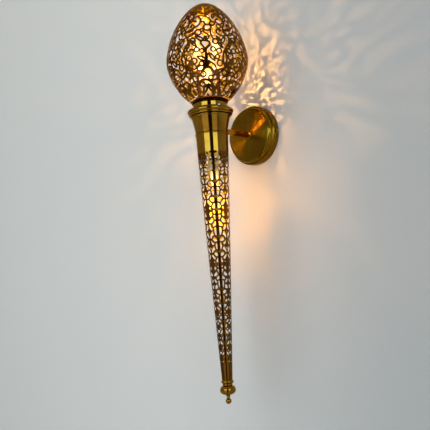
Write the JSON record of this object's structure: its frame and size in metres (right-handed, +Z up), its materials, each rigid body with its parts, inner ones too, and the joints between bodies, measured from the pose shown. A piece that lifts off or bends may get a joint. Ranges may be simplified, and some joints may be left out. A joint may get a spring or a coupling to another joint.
{
  "type": "torch wall sconce",
  "caption": "Brass torch wall light: round canopy, short arm, flared cup, pierced egg shade above and long pierced tapering stem with a turned finial below.",
  "frame": {"origin": "middle of the canopy on the wall's face, at the back of the wall bracket", "axes": "+Z up, +Y into the wall, +X to the right of someone facing the wall; the torch stands at y = -130 mm"},
  "size_m": [0.159, 0.2315, 0.7712],
  "materials": {
    "brass": "polished and lacquered, olive gold",
    "pierced_brass": "pierced sheet, polished outside, warm and duller inside",
    "inner_brass": "satin",
    "steel": "zinc plated",
    "ceramic": "unglazed",
    "lamp_glass": "clear, lit",
    "insulation": "sleeved lead"
  },
  "bodies": {
    "fixture": {"wall_bracket": "steel", "wall_screw_left": "steel", "wall_screw_right": "steel", "earth_screw": "brass", "terminal_block": "ceramic", "backplate": "brass", "arm_tube": "brass", "arm_collar": "brass", "arm_washer": "steel", "arm_nut": "steel", "arm_ferrule": "brass", "arm_cup_nut": "steel", "cup": "brass", "rim_ring": "brass", "shade_gallery": "brass", "lamp_plate": "inner_brass", "plate_washer": "steel", "plate_nut": "steel", "tie_rod": "steel", "cluster_hub": "inner_brass", "cluster_strap": "inner_brass", "lamp_tube_left": "inner_brass", "lamp_tube_right": "inner_brass", "lampholder_middle": "ceramic", "lampholder_left": "ceramic", "lampholder_right": "ceramic", "stem_lamp_strap": "inner_brass", "strap_nut_upper": "steel", "strap_nut_lower": "steel", "stem_lamp_tube": "inner_brass", "lampholder_stem": "ceramic", "lamp_connector": "ceramic", "supply_lead": "insulation", "cluster_lead": "insulation", "stem_lead": "insulation"},
    "shade": {"shade_neck_sleeve": "brass", "shade_neck_ring": "brass", "egg_shade": "pierced_brass"},
    "stem": {"stem_cone": "pierced_brass", "stem_end_ring": "brass"},
    "finial": {"finial": "brass"},
    "canopy_screw_left": {"canopy_screw_left": "brass"},
    "canopy_screw_right": {"canopy_screw_right": "brass"},
    "shade_screw_1": {"shade_screw_1": "steel"},
    "shade_screw_2": {"shade_screw_2": "steel"},
    "shade_screw_3": {"shade_screw_3": "steel"},
    "lamp_middle": {"lamp_base_middle": "brass", "lamp_glass_middle": "lamp_glass"},
    "lamp_left": {"lamp_base_left": "brass", "lamp_glass_left": "lamp_glass"},
    "lamp_right": {"lamp_base_right": "brass", "lamp_glass_right": "lamp_glass"},
    "lamp_stem": {"lamp_base_stem": "brass", "lamp_glass_stem": "lamp_glass"}
  },
  "joints": [
    {"name": "shade_lift", "type": "slide", "parent": "fixture", "child": "shade", "axis": [0, 0, 1], "range_m": [0, 0.15]},
    {"name": "stem_drop", "type": "slide", "parent": "fixture", "child": "stem", "axis": [0, 0, -1], "range_m": [0, 0.13]},
    {"name": "finial_turn", "type": "hinge", "parent": "stem", "child": "finial", "pos_m": [0, -0.13, -0.5], "axis": [0, 0, 1], "continuous": true},
    {"name": "canopy_screw_left_turn", "type": "hinge", "parent": "fixture", "child": "canopy_screw_left", "pos_m": [-0.06, -0.007, 0], "axis": [-1, 0, 0], "continuous": true},
    {"name": "canopy_screw_right_turn", "type": "hinge", "parent": "fixture", "child": "canopy_screw_right", "pos_m": [0.06, -0.007, 0], "axis": [1, 0, 0], "continuous": true},
    {"name": "shade_screw_1_turn", "type": "hinge", "parent": "fixture", "child": "shade_screw_1", "pos_m": [0.03188, -0.13854, 0.0407], "axis": [0.9659, -0.2588, 0], "continuous": true},
    {"name": "shade_screw_2_turn", "type": "hinge", "parent": "fixture", "child": "shade_screw_2", "pos_m": [-0.00854, -0.09812, 0.0407], "axis": [-0.2588, 0.9659, 0], "continuous": true},
    {"name": "shade_screw_3_turn", "type": "hinge", "parent": "fixture", "child": "shade_screw_3", "pos_m": [-0.02333, -0.15333, 0.0407], "axis": [-0.7071, -0.7071, 0], "continuous": true},
    {"name": "lamp_middle_turn", "type": "hinge", "parent": "fixture", "child": "lamp_middle", "pos_m": [0, -0.13, 0.1], "axis": [0, 0, 1], "continuous": true},
    {"name": "lamp_left_turn", "type": "hinge", "parent": "fixture", "child": "lamp_left", "pos_m": [-0.01344, -0.14344, 0.16], "axis": [0, 0, 1], "continuous": true},
    {"name": "lamp_right_turn", "type": "hinge", "parent": "fixture", "child": "lamp_right", "pos_m": [0.01344, -0.11656, 0.16], "axis": [0, 0, 1], "continuous": true},
    {"name": "lamp_stem_turn", "type": "hinge", "parent": "fixture", "child": "lamp_stem", "pos_m": [-0.00919, -0.12081, -0.1], "axis": [0, 0, -1], "continuous": true}
  ]
}
